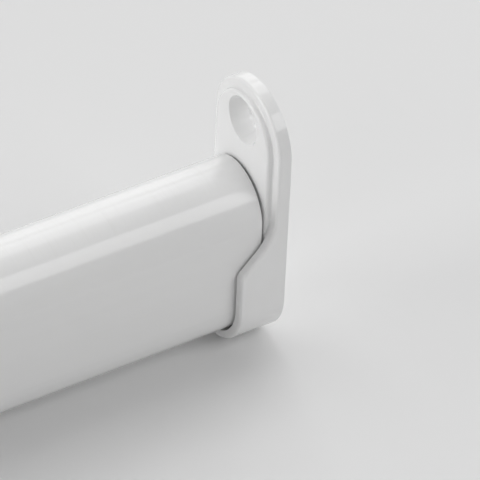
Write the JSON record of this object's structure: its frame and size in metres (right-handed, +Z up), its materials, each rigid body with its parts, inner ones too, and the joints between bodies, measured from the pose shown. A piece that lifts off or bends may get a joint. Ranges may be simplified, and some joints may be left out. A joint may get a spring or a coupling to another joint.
{
  "type": "wardrobe rail",
  "caption": "White flat-oval wardrobe hanging rail lying in open-top cradle brackets, each with a single screw hole above the rail.",
  "frame": {"origin": "centre of the left bracket's screw hole, on the face that lies against the wardrobe's side panel", "axes": "+X along the rail from the left bracket to the right one, +Z up, +Y towards the back of the wardrobe"},
  "size_m": [0.462, 0.0186, 0.0462],
  "materials": {
    "rail_coating": "smooth white semi-gloss powder coat on steel tube",
    "bracket_plastic": "white moulded plastic, semi-gloss"
  },
  "bodies": {
    "brackets": {"left_bracket": "bracket_plastic", "right_bracket": "bracket_plastic"},
    "rail": {"rail": "rail_coating"}
  },
  "joints": [
    {"name": "rail_lift", "type": "slide", "parent": "brackets", "child": "rail", "axis": [0, 0, 1], "range_m": [0, 0.03]}
  ]
}
